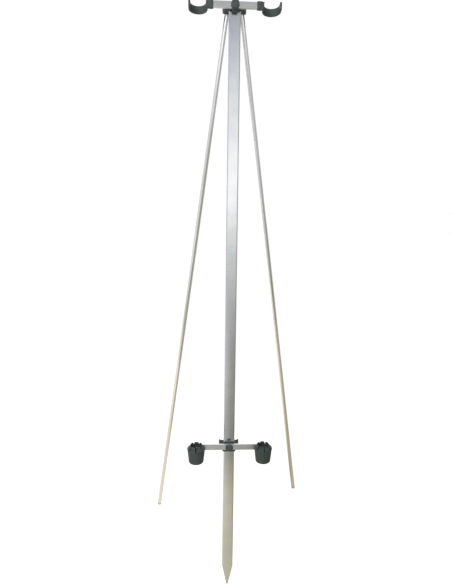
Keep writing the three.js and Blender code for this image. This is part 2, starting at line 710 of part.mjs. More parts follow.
function cupProfile() {
  const lip = CUP_RADIUS + CUP_LIP;
  const innerBase = CUP_BASE_RADIUS - CUP_WALL;
  const innerRound = CUP_BASE_ROUND - CUP_WALL / 2;
  const innerFloor = CUP_WALL - CUP_DEPTH;
  const outerRoundX = CUP_BASE_RADIUS - CUP_BASE_ROUND;
  const outerRoundY = CUP_BASE_ROUND - CUP_DEPTH;
  return [
    new THREE.Vector2(0, -CUP_DEPTH),
    ...arcPoints(outerRoundX, outerRoundY, CUP_BASE_ROUND, -QUARTER, 0, CORNER_STEPS),
    new THREE.Vector2(CUP_RADIUS, -CUP_NECK_DROP),
    new THREE.Vector2(lip, -CUP_LIP_HEIGHT),
    new THREE.Vector2(lip, 0),
    new THREE.Vector2(CUP_RADIUS, CUP_LIP_HEIGHT),
    new THREE.Vector2(CROWN_RADIUS, CROWN_SHOULDER),
    new THREE.Vector2(CROWN_RADIUS, CROWN_RISE),
    new THREE.Vector2(CROWN_RADIUS - CUP_WALL, CROWN_RISE),
    new THREE.Vector2(CROWN_RADIUS - CUP_WALL, CROWN_SHOULDER - CUP_LIP_HEIGHT),
    new THREE.Vector2(CUP_RADIUS - CUP_WALL, 0),
    new THREE.Vector2(CUP_RADIUS - CUP_WALL, -CUP_NECK_DROP),
    ...arcPoints(innerBase - innerRound, innerFloor + innerRound, innerRound, 0, -QUARTER, CORNER_STEPS),
    new THREE.Vector2(0, innerFloor),
  ];
}

// A slit towards the front: the gap between two fingers, and the round corners of their tips
function slitGeometry() {
  const far = -CUP_RADIUS - CUP_LIP - OVERRUN;
  const near = -CROWN_RADIUS / 2;
  const top = CROWN_RISE + OVERRUN;
  const corner = SLIT_WIDTH / 2 + FINGER_ROUND;
  const bend = CROWN_RISE - FINGER_ROUND;
  const tips = build(
    [block([-corner, far, bend], [corner, near, top])],
    [LEFT, RIGHT].map((side) => rod(FINGER_ROUND, far - OVERRUN, near + OVERRUN, side * corner, bend)),
  );
  return build([block([-SLIT_WIDTH / 2, far, -SLIT_DROP], [SLIT_WIDTH / 2, near, top]), tips]);
}

function cupGeometry(side) {
  const shell = new THREE.LatheGeometry(cupProfile(), CROWN_FINGERS * LOBE_STEPS).rotateX(QUARTER);
  const padFront = cupRadiusAtScrew - CUP_WALL + GAP;
  const pad = block(
    [-CUP_PAD_WIDTH / 2, padFront, cupScrewLevel - CUP_PAD_HEIGHT / 2],
    [CUP_PAD_WIDTH / 2, padFront + CUP_PAD_DEPTH, cupScrewLevel + CUP_PAD_HEIGHT / 2],
  );
  const cuts = [rod(CUP_SCREW_RADIUS + GAP, 0, padFront + CUP_PAD_DEPTH + OVERRUN, 0, cupScrewLevel)];
  const firstSlit = THREE.MathUtils.degToRad(FIRST_SLIT_DEGREES);
  for (let finger = 0; finger < CROWN_FINGERS; finger += 1) {
    const angle = (finger / CROWN_FINGERS) * 2 * Math.PI + (side === LEFT ? firstSlit : Math.PI - firstSlit);
    cuts.push(slitGeometry().rotateZ(QUARTER + angle));
  }
  return build([shell, pad], cuts);
}

// The cup's screw and nut, on an axis along Y
function cupScrewGeometry() {
  const inner = cupRadiusAtScrew - CUP_WALL;
  const sag = inner - Math.sqrt(inner ** 2 - CUP_SCREW_HEAD_RADIUS ** 2);
  const seat = cupAxisDepth + inner - sag - GAP;
  const cap = new THREE.CylinderGeometry(
    CUP_SCREW_HEAD_RADIUS,
    CUP_SCREW_HEAD_RADIUS / 2,
    CUP_SCREW_HEAD_RISE,
    SMALL_SIDES,
  ).translate(0, seat - CUP_SCREW_HEAD_RISE / 2, 0);
  const end = barBack + GAP + CUP_NUT_LENGTH + GAP;
  return build([cap, rod(CUP_SCREW_RADIUS, seat - CUP_SCREW_HEAD_RISE / 2, end)]);
}

const cupNutGeometry = () =>
  nutGeometry(CUP_NUT_WIDTH, CUP_SCREW_RADIUS, barBack + GAP, barBack + GAP + CUP_NUT_LENGTH);

// Assembly in the leg frame

const tripod = new THREE.Group();
tripod.add(piece('main_leg', mainLegGeometry(), FINISH.satinAluminium));

const headGroup = new THREE.Group();
headGroup.position.z = headHeight;
tripod.add(headGroup);
headGroup.add(piece('head', headGeometry(), FINISH.darkPlastic));
const rivet = piece('head_rivet', rivetGeometry(), FINISH.polishedAluminium);
rivet.position.z = -RIVET_DROP;
headGroup.add(rivet);
const headNutSeat = bossFront + HEAD_NUT_SEAT + GAP;
const headNut = nutGeometry(HEAD_NUT_WIDTH, STUD_RADIUS, headNutSeat, headNutSeat + HEAD_NUT_LENGTH);
headGroup.add(piece('upper_nut', headNut, FINISH.zincSteel));

// Rear legs: each fork turns about Z into its spreading direction, and its leg swings about Y
const contacts = [];
for (const side of [LEFT, RIGHT]) {
  const direction = THREE.MathUtils.degToRad(SPREAD_DIRECTION_DEGREES);
  const spread = THREE.MathUtils.degToRad(side === LEFT ? SPREAD_LEFT_DEGREES : SPREAD_RIGHT_DEGREES);
  const fork = new THREE.Group();
  fork.position.set(side * PIVOT_OUT, PIVOT_BACK, 0);
  fork.rotation.z = side === RIGHT ? direction : Math.PI - direction;
  fork.add(piece(`pivot_bolt_${sideName(side)}`, pivotBoltGeometry(side), FINISH.blackSteel));
  fork.add(piece(`pivot_nut_${sideName(side)}`, pivotNutGeometry(side), FINISH.blackSteel));
  const swing = new THREE.Group();
  swing.rotation.y = -spread;
  swing.add(piece(`rear_leg_${sideName(side)}`, rearTubeGeometry(), FINISH.polishedAluminium));
  swing.add(piece(`foot_plug_${sideName(side)}`, footPlugGeometry(), FINISH.darkPlastic));
  fork.add(swing);
  headGroup.add(fork);
  tripod.updateMatrixWorld(true);
  const centre = new THREE.Vector3(0, 0, plugTop).applyMatrix4(swing.matrixWorld);
  contacts.push({ centre, radius: TUBE_RADIUS });
}
contacts.push({ centre: new THREE.Vector3(0, 0, POINT_TIP), radius: POINT_TIP });

// Upper bar with its rests, and the knob that clamps it to the head
const restScrewHoles = [LEFT, RIGHT].map((side) =>
  rod(REST_SCREW_RADIUS + GAP, barMiddle, barBack + OVERRUN, side * restScrewReach),
);
headGroup.add(piece('upper_crossbar', barGeometry(upperBarHalf, restScrewHoles), FINISH.satinAluminium));
for (const side of [LEFT, RIGHT]) {
  headGroup.add(piece(`rod_rest_${sideName(side)}`, rodRestGeometry(side), FINISH.darkPlastic));
  const screw = piece(`rest_screw_${sideName(side)}`, restScrewGeometry(), FINISH.zincSteel);
  screw.position.x = side * restScrewReach;
  headGroup.add(screw);
}
headGroup.add(piece('upper_washer', washerPlateGeometry(), FINISH.darkPlastic));
headGroup.add(piece('upper_knob', knobGeometry(), FINISH.darkPlastic));
headGroup.add(piece('upper_stud', studGeometry(headNutSeat + HEAD_NUT_LENGTH), FINISH.zincSteel));

// Slider collar, lower bar with its cups, and the knob that clamps them to the main leg
const collarGroup = new THREE.Group();
collarGroup.position.z = COLLAR_HEIGHT;
tripod.add(collarGroup);
collarGroup.add(piece('slider_collar', collarGeometry(), FINISH.darkPlastic));
collarGroup.add(piece('collar_nut', collarNutGeometry(), FINISH.zincSteel));
const cupScrewHoles = [LEFT, RIGHT].map((side) =>
  rod(CUP_SCREW_RADIUS + GAP, barFront - OVERRUN, barBack + OVERRUN, side * HOLDER_REACH),
);
collarGroup.add(piece('lower_crossbar', barGeometry(lowerBarHalf, cupScrewHoles), FINISH.satinAluminium));
for (const side of [LEFT, RIGHT]) {
  const cup = piece(`butt_cup_${sideName(side)}`, cupGeometry(side), FINISH.darkPlastic);
  cup.position.set(side * HOLDER_REACH, cupAxisDepth, CUP_RISE);
  const screw = piece(`cup_screw_${sideName(side)}`, cupScrewGeometry(), FINISH.zincSteel);
  screw.position.x = side * HOLDER_REACH;
  const nut = piece(`cup_nut_${sideName(side)}`, cupNutGeometry(), FINISH.zincSteel);
  nut.position.x = side * HOLDER_REACH;
  collarGroup.add(cup, screw, nut);
}
collarGroup.add(piece('lower_washer', washerGeometry(), FINISH.zincSteel));
collarGroup.add(piece('lower_knob', knobGeometry(), FINISH.darkPlastic));
collarGroup.add(piece('lower_stud', studGeometry(legFront - GAP), FINISH.zincSteel));

// Stands the tripod on its three ends: the ground touches the two round feet and the blunt tip
const up = new THREE.Vector3(0, 0, 1);
for (let pass = 0; pass < LEVEL_PASSES; pass += 1) {
  const [left, right, tip] = contacts.map(({ centre, radius }) => centre.clone().addScaledVector(up, -radius));
  up.crossVectors(right.sub(tip), left.sub(tip)).normalize();
}
const across = new THREE.Vector3(1, 0, 0);
across.addScaledVector(up, -across.dot(up)).normalize();
const back = new THREE.Vector3().crossVectors(up, across);
const legToGround = new THREE.Matrix4().makeBasis(across, back, up).transpose();
tripod.quaternion.setFromRotationMatrix(legToGround);

// The origin is on the ground under the middle of the whole object
const group = new THREE.Group();
group.add(tripod);
group.updateMatrixWorld(true);
const bounds = new THREE.Box3().setFromObject(group, true);
tripod.position.set(-(bounds.min.x + bounds.max.x) / 2, -(bounds.min.y + bounds.max.y) / 2, -bounds.min.z);

export default group;
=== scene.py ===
"""A surf rod tripod on a white studio floor: three legs, an upper bar with two U-shaped rod rests
and a lower bar with two butt cups. The tripod's sizes are in millimetres, and go to metres where
a mesh or a bevel is made. The studio's sizes, at the end, are in metres."""

import json
import math

import bmesh
import bpy
import numpy as np
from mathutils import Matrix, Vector


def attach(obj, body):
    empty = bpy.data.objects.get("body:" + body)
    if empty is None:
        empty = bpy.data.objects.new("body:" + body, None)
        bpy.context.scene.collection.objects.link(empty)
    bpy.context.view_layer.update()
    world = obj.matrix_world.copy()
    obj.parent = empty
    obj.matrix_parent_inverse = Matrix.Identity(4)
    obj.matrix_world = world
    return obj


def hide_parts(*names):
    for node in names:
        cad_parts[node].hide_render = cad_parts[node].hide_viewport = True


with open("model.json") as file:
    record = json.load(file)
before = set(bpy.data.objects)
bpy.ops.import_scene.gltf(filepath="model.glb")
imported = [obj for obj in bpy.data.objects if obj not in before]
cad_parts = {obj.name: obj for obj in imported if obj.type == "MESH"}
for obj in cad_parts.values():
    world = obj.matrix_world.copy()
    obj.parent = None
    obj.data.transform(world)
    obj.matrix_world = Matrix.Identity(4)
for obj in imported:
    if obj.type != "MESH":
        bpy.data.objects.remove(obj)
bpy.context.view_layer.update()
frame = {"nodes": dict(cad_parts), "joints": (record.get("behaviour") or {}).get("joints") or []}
joints = {joint["name"]: joint for joint in frame["joints"]}


# The main leg. It is a flat aluminium tube, 29 by 14 mm, extruded and satin anodised. Its lower
# end is cut and pressed to a blunt point for sand, and its upper end is held in the head.

UP = np.array(joints["collar_slide"]["axis"])
BACK = -np.array(joints["upper_bar_tilt"]["axis"])
RIGHT = np.cross(BACK, UP)
LEG_AXES = np.array([RIGHT, BACK, UP])
# The middle of both bars, in front of the leg's middle
BAR_MIDDLE = -16.25
# The point of the leg's middle line that is level with the upper bar
HEAD_POINT = np.array(joints["upper_bar_tilt"]["pos_m"]) * 1000 - BAR_MIDDLE * BACK
LEG_FACE = 29
LEG_DEPTH = 14
LEG_CORNER = 3.5
LEG_TOP = -7
LEG_TIP = -1500
LEG_STEPS = 39
POINT_LENGTH = 60
POINT_STEPS = 12
TIP_RADIUS = 2.5
TIP_STEPS = 5
LEG_COLOUR = (0.68, 0.69, 0.70, 1)
LEG_TINT = (0.61, 0.63, 0.65, 1)
# A warmer colour towards the foot, painted in place of the warm floor's reflection: its share at the low
# height, fading to none at the high one
LEG_PAINTED_REFLECTION = {"share": 0.45, "low": -1500, "high": -900, "colour": (0.66, 0.62, 0.50, 1)}
# How far the painted reflection's limits wander up and down
REFLECTION_WAVE = 60
# Cells of noise along the die lines, as a share of those across
DIE_STRETCH = (1, 1, 0.008)
DIE_SHADE = 0.82
METAL_BUMP = 0.02
# Faces that meet at less than this angle, in degrees, are shaded as one
SMOOTH_ANGLE = 32
# Points closer than this, in metres, are one
MERGE_DISTANCE = 2e-6


def rounded_section(width, depth, corner, corner_steps=8, side_steps=1):
    """Rounded rectangles in X and Y, one for each width, depth and corner radius. A point at angle
    a of a corner is the corner's centre plus the radius times (cos a, sin a), and each straight
    side is divided evenly."""
    sizes = (np.atleast_1d(size).astype(float) for size in (width, depth, corner))
    width, depth, corner = np.broadcast_arrays(*sizes)
    angles = np.linspace(0, math.pi / 2, corner_steps + 1)
    arcs = []
    for quarter, (right, back) in enumerate([(1, 1), (-1, 1), (-1, -1), (1, -1)]):
        centre = np.stack([right * (width / 2 - corner), back * (depth / 2 - corner)], -1)
        turn = angles + quarter * math.pi / 2
        arc = np.stack([np.cos(turn), np.sin(turn)], -1)
        arcs.append(centre[:, None] + corner[:, None, None] * arc)
    outline = []
    for quarter in range(4):
        start, end = arcs[quarter][:, -1:], arcs[(quarter + 1) % 4][:, :1]
        share = np.linspace(0, 1, side_steps + 1)[1:-1, None]
        outline += [arcs[quarter], start + (end - start) * share]
    return np.concatenate(outline, axis=1)


def stack(sections, heights):
    """Sections in X and Y put at their heights along Z."""
    heights = np.broadcast_to(np.asarray(heights, float)[:, None], sections.shape[:2])
    return np.concatenate([sections, heights[..., None]], axis=-1)


def leg_rings():
    """The leg from its tip up: a quarter round of circles, then rounded rectangles whose sides
    and corners grow evenly to the tube's over the length of the point, then the tube's own."""
    bend = np.linspace(math.pi / 2, 0, TIP_STEPS + 1)[1:]
    tip_width = 2 * TIP_RADIUS * np.cos(bend)
    tip_height = LEG_TIP + TIP_RADIUS * (1 - np.sin(bend))
    share = np.linspace(0, 1, POINT_STEPS + 1)[1:]
    point_width = 2 * TIP_RADIUS + (LEG_FACE - 2 * TIP_RADIUS) * share
    point_depth = 2 * TIP_RADIUS + (LEG_DEPTH - 2 * TIP_RADIUS) * share
    point_corner = TIP_RADIUS + (LEG_CORNER - TIP_RADIUS) * share
    point_height = LEG_TIP + TIP_RADIUS + (POINT_LENGTH - TIP_RADIUS) * share
    tube_height = np.linspace(LEG_TIP + POINT_LENGTH, LEG_TOP, LEG_STEPS + 1)[1:]
    sections = [
        rounded_section(tip_width, tip_width, tip_width / 2),
        rounded_section(point_width, point_depth, point_corner),
        np.repeat(rounded_section(LEG_FACE, LEG_DEPTH, LEG_CORNER), LEG_STEPS, axis=0),
    ]
    return stack(np.concatenate(sections), np.concatenate([tip_height, point_height, tube_height]))


def put_in_scene(name, data):
    """A new object in the scene that holds a mesh, a lamp or a camera."""
    holder = bpy.data.objects.new(name, data)
    bpy.context.scene.collection.objects.link(holder)
    return holder


def finish_mesh(name, mesh, sharp):
    """Merges doubled points, turns every face outwards, and shades smooth up to an angle."""
    work = bmesh.new()
    work.from_mesh(mesh)
    bmesh.ops.remove_doubles(work, verts=work.verts, dist=MERGE_DISTANCE)
    bmesh.ops.recalc_face_normals(work, faces=work.faces)
    work.to_mesh(mesh)
    work.free()
    mesh.shade_smooth()
    mesh.set_sharp_from_angle(angle=math.radians(sharp))
    return put_in_scene(name, mesh)


def build_skin(name, rings, axes, origin, loop=False, sharp=SMOOTH_ANGLE):
    """A closed skin through rings of points: point j of ring i joins point j of ring i + 1 and
    point j + 1 of ring i. A loop of rings closes on itself, and otherwise each end is one face.
    A point p is put at origin + p @ axes, and p itself is kept as the attribute "place"."""
    count, around = rings.shape[:2]
    index = np.arange(count * around).reshape(count, around)
    beside = np.roll(index, -1, axis=1)
    above, above_beside = np.roll(index, -1, axis=0), np.roll(beside, -1, axis=0)
    quads = np.stack([index, beside, above_beside, above], axis=-1)
    faces = quads[: None if loop else -1].reshape(-1, 4).tolist()
    if not loop:
        faces += [index[0, ::-1].tolist(), index[-1].tolist()]
    points = rings.reshape(-1, 3)
    mesh = bpy.data.meshes.new(name)
    mesh.from_pydata(((origin + points @ axes) / 1000).tolist(), [], faces)
    place = mesh.attributes.new("place", "FLOAT_VECTOR", "POINT")
    place.data.foreach_set("vector", points.astype(np.float32).ravel())
    return finish_mesh(name, mesh, sharp)


def dress(piece, material, body, slot, *nodes):
    """Gives a piece its material and the body it rides on, and hides the nodes it stands for. The slot is
    not used.
    """
    piece.data.materials.clear()
    piece.data.materials.append(material)
    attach(piece, body)
    if nodes:
        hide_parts(*nodes)


class Nodes:
    """The node tree of a material or a world, with short ways to add the nodes used here."""

    def __init__(self, holder):
        holder.use_nodes = True
        self.nodes = holder.node_tree.nodes
        self.links = holder.node_tree.links

    def add(self, kind, values=(), **settings):
        """A node of a kind, with its settings and its inputs' values or links."""
        node = self.nodes.new(kind)
        for key, value in settings.items():
            setattr(node, key, value)
        for key, value in dict(values).items():
            if isinstance(value, bpy.types.NodeSocket):
                self.links.new(value, node.inputs[key])
            else:
                node.inputs[key].default_value = value
        return node

    def number(self, operation, *values):
        """An operation on numbers, with its inputs in order."""
        return self.add("ShaderNodeMath", enumerate(values), operation=operation).outputs["Value"]

    def scaled(self, vector, factor):
        """A vector or a colour times a number."""
        values = {0: vector, "Scale": factor}
        return self.add("ShaderNodeVectorMath", values, operation="SCALE").outputs["Vector"]

    def product(self, first, second):
        """Two vectors or colours, multiplied part by part."""
        values = {0: first, 1: second}
        return self.add("ShaderNodeVectorMath", values, operation="MULTIPLY").outputs["Vector"]

    def noise(self, point, scale, detail, stretch=(1, 1, 1)):
        """Noise with a number of cells for each millimetre along each axis."""
        cells = self.product(point, tuple(scale * part for part in stretch))
        values = {"Vector": cells, "Scale": 1, "Detail": detail}
        return self.add("ShaderNodeTexNoise", values).outputs["Fac"]

    def spread(self, value, low, high, start=0.3, stop=0.7):
        """A value between start and stop, brought between low and high."""
        values = {"Value": value, "From Min": start, "From Max": stop, "To Min": low, "To Max": high}
        return self.add("ShaderNodeMapRange", values).outputs["Result"]

    def blend(self, factor, first, second):
        """A colour between two, each a colour or a link."""
        values = {0: factor, 6: first, 7: second}
        return self.add("ShaderNodeMix", values, data_type="RGBA").outputs[2]


class Finish(Nodes):
    """A material: its nodes, the points of a piece that they start from, and its shader."""

    def __init__(self, name, metallic, specular=0.5):
        self.material = bpy.data.materials.new(name)
        super().__init__(self.material)
        self.shader = self.nodes["Principled BSDF"]
        self.shader.inputs["Metallic"].default_value = metallic
        self.shader.inputs["Specular IOR Level"].default_value = specular

    def skin_point(self):
        """A point in millimetres on the axes that the piece's skin was built on."""
        return self.add("ShaderNodeAttribute", attribute_name="place").outputs["Vector"]

    def object_point(self):
        """A point in millimetres from the object's origin."""
        return self.scaled(self.add("ShaderNodeTexCoord").outputs["Object"], 1000)

    def use(self, colour, roughness, height, depth):
        """Links colour, roughness and a bump whose full height is a depth in millimetres."""
        self.links.new(colour, self.shader.inputs["Base Color"])
        self.links.new(roughness, self.shader.inputs["Roughness"])
        values = {"Height": height, "Distance": depth / 1000, "Strength": 1}
        bump = self.add("ShaderNodeBump", values)
        self.links.new(bump.outputs["Normal"], self.shader.inputs["Normal"])
        return self.material


def times(colour, factor):
    """A darker or a lighter tone of a colour."""
    return tuple(factor * part for part in colour[:3]) + (1,)


def drawn_aluminium(name, colour, tint, smooth, rough, painted_reflection=None):
    """Aluminium with die lines along the piece's own Z: noise that is stretched more than a
    hundredfold that way darkens the colour and drives roughness and a shallow bump, and wide
    noise shifts the colour towards a tint. From the painted reflection's high limit down to its
    low one, the metal takes on a share of a warmer colour: a painted reflection of the warm floor."""
    finish = Finish(name, metallic=1)
    point = finish.skin_point()
    lines = finish.noise(point, scale=2.6, detail=4, stretch=DIE_STRETCH)
    fine_lines = finish.noise(point, scale=9, detail=2, stretch=DIE_STRETCH)
    clouds = finish.noise(point, scale=0.03, detail=3)
    specks = finish.noise(point, scale=0.7, detail=5)
    shade = finish.blend(finish.spread(clouds, 0, 1), colour, tint)
    shade = finish.blend(finish.spread(lines, 0, 0.25), shade, times(colour, DIE_SHADE))
    # Painted reflection: towards the foot the colour is blended into a warmer one, in place of the warm
    # floor that the metal mirrors
    if painted_reflection:
        height = finish.add("ShaderNodeSeparateXYZ", {0: point}).outputs["Z"]
        wavy = finish.number("MULTIPLY_ADD", clouds, REFLECTION_WAVE, height)
        reflected_share = finish.spread(wavy, painted_reflection["share"], 0, start=painted_reflection["low"], stop=painted_reflection["high"])
        shade = finish.blend(reflected_share, shade, painted_reflection["colour"])
    both_lines = finish.number("ADD", lines, fine_lines)
    gloss = finish.spread(both_lines, smooth, rough, start=0.7, stop=1.3)
    scratched = finish.spread(specks, 0, 0.09, start=0.62, stop=0.8)
    gloss = finish.number("ADD", gloss, scratched)
    return finish.use(shade, gloss, lines, METAL_BUMP)


satin_leg = drawn_aluminium("satin_leg", LEG_COLOUR, LEG_TINT, smooth=0.17, rough=0.24, painted_reflection=LEG_PAINTED_REFLECTION)
main_leg = build_skin("main_leg_tube", leg_rings(), LEG_AXES, HEAD_POINT)
dress(main_leg, satin_leg, "frame", "satin_aluminium", "main_leg")


# The head. It is one moulding of dark nylon with a spigot in the leg, two forks for the rear
# legs, a boss for the stud and a lug on top. A rivet holds it in the leg, and a nut is in its back.

PLASTIC = (0.060, 0.073, 0.070, 1)
PLASTIC_PALE = (0.083, 0.097, 0.093, 1)
PLASTIC_BUMP = 0.05
SCUFF_LIFT = 2.2
ZINC_GREY = (0.60, 0.61, 0.62, 1)
ZINC_YELLOW = (0.58, 0.56, 0.50, 1)
HEAD_EDGE = 0.5
SCREW_EDGE = 0.3
# How a copy of a solid is merged, in metres, and joined and shaded, in degrees
COPY_MERGE_DISTANCE = 5e-6
COPY_FLAT_ANGLE = 1
COPY_SMOOTH_ANGLE = 25


def moulded_plastic(name, colour, pale):
    """Nylon from a spark-eroded mould: a fine even grain, with wide soft clouds in colour and
    gloss and a few pale scuffs."""
    finish = Finish(name, metallic=0, specular=0.18)
    point = finish.object_point()
    grain = finish.noise(point, scale=2.4, detail=3)
    clouds = finish.noise(point, scale=0.06, detail=4)
    scuffs = finish.noise(point, scale=0.35, detail=6, stretch=(1, 1, 0.3))
    shade = finish.blend(finish.spread(clouds, 0, 0.6), colour, pale)
    scuffed = finish.spread(scuffs, 0, 0.3, start=0.6, stop=0.72)
    shade = finish.blend(scuffed, shade, times(pale, SCUFF_LIFT))
    return finish.use(shade, finish.spread(clouds, 0.42, 0.56), grain, PLASTIC_BUMP)


def zinc_plate(name):
    """Zinc-plated steel: bright, a little yellow in places, and duller where it is handled."""
    finish = Finish(name, metallic=1)
    point = finish.object_point()
    clouds = finish.noise(point, scale=0.5, detail=4)
    grain = finish.noise(point, scale=3, detail=3)
    shade = finish.blend(finish.spread(clouds, 0, 1), ZINC_GREY, ZINC_YELLOW)
    return finish.use(shade, finish.spread(clouds, 0.24, 0.42), grain, METAL_BUMP)


def finished_copy(name, node, edge, material, body, slot):
    """A copy of a node's solid: its triangles are joined to faces, and each edge that is sharper
    than an angle is rounded."""
    mesh = frame["nodes"][node].data.copy()
    work = bmesh.new()
    work.from_mesh(mesh)
    bmesh.ops.remove_doubles(work, verts=work.verts, dist=COPY_MERGE_DISTANCE)
    flat = math.radians(COPY_FLAT_ANGLE)
    bmesh.ops.dissolve_limit(work, angle_limit=flat, verts=work.verts, edges=work.edges)
    work.to_mesh(mesh)
    work.free()
    piece = finish_mesh(name, mesh, COPY_SMOOTH_ANGLE)
    bevel = piece.modifiers.new("rounded edges", "BEVEL")
    bevel.width = edge / 1000
    bevel.segments = 2
    bevel.limit_method = "ANGLE"
    bevel.angle_limit = math.radians(SMOOTH_ANGLE)
    bevel.harden_normals = True
    dress(piece, material, body, slot, node)


nylon = moulded_plastic("dark_nylon", PLASTIC, PLASTIC_PALE)
zinc = zinc_plate("zinc_plate")
finished_copy("head_moulding", "head", HEAD_EDGE, nylon, "frame", "dark_plastic")
finished_copy("head_rivet_dome", "head_rivet", SCREW_EDGE, zinc, "frame", "polished_aluminium")
finished_copy("head_nut", "upper_nut", SCREW_EDGE, zinc, "frame", "zinc_steel")


# The rear legs. Each is a polished round aluminium tube on a bolt through its fork, with a
# plastic plug pressed into its lower end. They swing out from beside the main leg.

TUBE_RADIUS = 6.35
TUBE_WALL = 1
TUBE_BORE = TUBE_RADIUS - TUBE_WALL
TUBE_BORE_DEPTH = 12
TUBE_EDGE = 0.25
TUBE_TOP = 5.5
TUBE_STEPS = 31
TURNED_SIDES = 72
# The foot's lowest point, along the leg from its hinge
FOOT_REACH = 1500
PLUG_SHOULDER = TUBE_RADIUS - FOOT_REACH
PLUG_SHANK = 11
PLUG_CLEARANCE = 0.3
PLUG_STEPS = 11
# The seam that shows between the plug's shoulder and the tube
PLUG_SEAM = 0.3
TUBE_BOTTOM = PLUG_SHOULDER + PLUG_SEAM
TUBE_COLOUR = (0.88, 0.89, 0.89, 1)
TUBE_TINT = (0.82, 0.83, 0.82, 1)
# A warmer colour towards the foot, painted in place of the warm floor's reflection in the polished tube
TUBE_PAINTED_REFLECTION = {"share": 0.8, "low": -1500, "high": -700, "colour": (0.78, 0.73, 0.62, 1)}
OXIDE = (0.085, 0.092, 0.092, 1)
OXIDE_WORN = (0.20, 0.21, 0.21, 1)


def black_oxide(name):
    """Blackened steel: dark grey, with the grey of the bare metal showing through in specks where the oxide
    is rubbed off.
    """
    finish = Finish(name, metallic=0.2)
    point = finish.object_point()
    specks = finish.noise(point, scale=1.2, detail=5)
    grain = finish.noise(point, scale=3, detail=3)
    shade = finish.blend(finish.spread(specks, 0, 0.8, start=0.6, stop=0.8), OXIDE, OXIDE_WORN)
    return finish.use(shade, finish.spread(specks, 0.5, 0.36), grain, METAL_BUMP)


def arc_points(centre, size, angles):
    """Points of an arc in a profile of radii and heights: the centre, plus the size across and
    up times the cosine and the sine of each angle."""
    return np.array(centre) + np.array(size) * np.stack([np.cos(angles), np.sin(angles)], -1)


def turned_rings(profile):
    """A turned shape: a profile of radii and heights carried round Z."""
    angle = np.linspace(0, 2 * math.pi, TURNED_SIDES, endpoint=False)
    around = np.stack([np.cos(angle), np.sin(angle)], -1)
    return stack(profile[:, :1, None] * around, profile[:, 1])


def tube_profile():
    """The tube's wall: from inside the lower bore, round the eased lower end, up the outside and
    round the upper end into the upper bore."""
    side = np.linspace(TUBE_BOTTOM + TUBE_EDGE, TUBE_TOP - TUBE_EDGE, TUBE_STEPS + 1)
    lower_bore = [[TUBE_BORE, TUBE_BOTTOM + TUBE_BORE_DEPTH], [TUBE_BORE, TUBE_BOTTOM]]
    upper_bore = [[TUBE_BORE, TUBE_TOP], [TUBE_BORE, TUBE_TOP - TUBE_BORE_DEPTH]]
    lower_edge = [[TUBE_RADIUS - TUBE_EDGE, TUBE_BOTTOM]]
    upper_edge = [[TUBE_RADIUS - TUBE_EDGE, TUBE_TOP]]
    outside = np.stack([np.full(len(side), TUBE_RADIUS), side], -1)
    return np.concatenate([lower_bore, lower_edge, outside, upper_edge, upper_bore])


def plug_profile():
    """The plug: a quarter round of the tube's radius up to its shoulder, and a shank above it."""
    bend = np.linspace(-math.pi / 2, 0, PLUG_STEPS + 1)[1:]
    dome = arc_points((0, PLUG_SHOULDER), TUBE_RADIUS, bend)
    shank = TUBE_BORE - PLUG_CLEARANCE
    return np.concatenate([dome, [[shank, PLUG_SHOULDER], [shank, PLUG_SHOULDER + PLUG_SHANK]]])


def hinge_axes(joint):
    """A rear leg's axes at rest. The hinge's lower limit is the folded leg, in line with the main
    one, so the leg stands at that angle from it, turned about the hinge."""
    hinge = np.array(joint["axis"])
    spread = math.radians(-joint["range_deg"][0])
    along = UP * math.cos(spread) + np.cross(hinge, UP) * math.sin(spread)
    return np.array([np.cross(-hinge, along), -hinge, along])


polished_tube = drawn_aluminium(
    "polished_tube", TUBE_COLOUR, TUBE_TINT, smooth=0.12, rough=0.22, painted_reflection=TUBE_PAINTED_REFLECTION
)
blackened = black_oxide("black_oxide")
for side in ("left", "right"):
    hinge = joints[f"{side}_leg_spread"]
    axes, pivot = hinge_axes(hinge), np.array(hinge["pos_m"]) * 1000
    tube = build_skin(f"{side}_tube", turned_rings(tube_profile()), axes, pivot)
    dress(tube, polished_tube, f"{side}_leg", "polished_aluminium", f"rear_leg_{side}")
    plug = build_skin(f"{side}_foot", turned_rings(plug_profile()), axes, pivot)
    dress(plug, nylon, f"{side}_leg", "dark_plastic", f"foot_plug_{side}")
    finished_copy(f"{side}_pivot_bolt", f"pivot_bolt_{side}", SCREW_EDGE, blackened, "frame", "black_steel")
    finished_copy(f"{side}_pivot_nut", f"pivot_nut_{side}", SCREW_EDGE, blackened, "frame", "black_steel")


# The upper bar. It is a flat hollow aluminium profile, 15.5 by 5.5 mm, with two fine grooves
# along each face. The stud goes through its middle, and a rod rest is pressed over each end.

BAR_HEIGHT = 15.5
BAR_THICKNESS = 5.5
BAR_WALL = 1.1
BAR_CORNER = 1
BAR_BORE_CORNER = 0.4
BAR_END_LENGTH = 0.25
BAR_END_INSET = 0.5
GROOVE_OFFSET = 3
GROOVE_HALF = 0.6
GROOVE_DEPTH = 0.35
# How near a point has to be to a flat face to lie on it
FACE_TOLERANCE = 0.02
UPPER_BAR_HALF = 62.7
BAR_COLOUR = (0.66, 0.67, 0.67, 1)
BAR_TINT = (0.58, 0.60, 0.61, 1)


